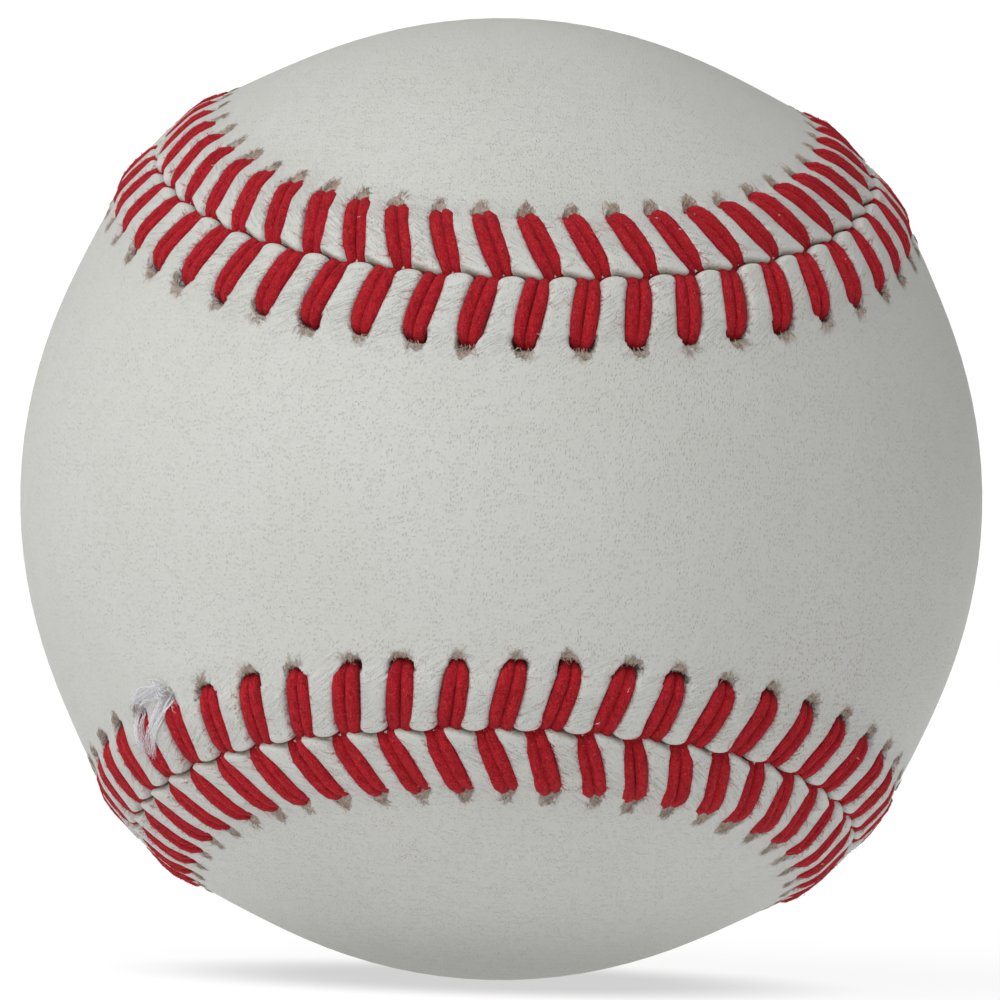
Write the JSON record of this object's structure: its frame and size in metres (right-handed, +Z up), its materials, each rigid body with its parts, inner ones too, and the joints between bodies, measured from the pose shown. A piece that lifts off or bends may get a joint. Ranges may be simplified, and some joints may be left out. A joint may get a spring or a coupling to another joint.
{
  "type": "baseball",
  "caption": "Hand-stitched leather ball: two figure-eight cover panels sewn over yarn windings around a cork and rubber pill.",
  "frame": {"origin": "the ball's centre", "axes": "+Y from the front panel's waist to the rear panel's waist; the front panel's waist faces -Y and runs along X; the rear panel's waist faces +Y and runs along Z; +Z up as in the picture"},
  "size_m": [0.074, 0.074, 0.074],
  "materials": {
    "cork": "ground cork bound with rubber",
    "black_rubber": "moulded, dull",
    "red_rubber": "moulded, dull",
    "grey_wool": "wool yarn, wound tight",
    "white_wool": "wool yarn, wound tight",
    "finish_yarn": "fine cotton and polyester yarn",
    "cement": "thin rubber cement",
    "cover_leather": "alum-tanned white leather, fine grain",
    "red_thread": "waxed cotton thread"
  },
  "bodies": {
    "root": {"cork_center": "cork", "inner_shell_upper": "black_rubber", "inner_shell_lower": "black_rubber", "gasket_ring": "red_rubber", "rubber_jacket": "red_rubber", "winding_base_wool": "grey_wool", "winding_white_wool": "white_wool", "winding_upper_wool": "grey_wool", "winding_finish_yarn": "finish_yarn", "cement_coat": "cement", "cover_front": "cover_leather", "cover_rear": "cover_leather", "thread_left": "red_thread", "thread_right": "red_thread"}
  },
  "joints": []
}
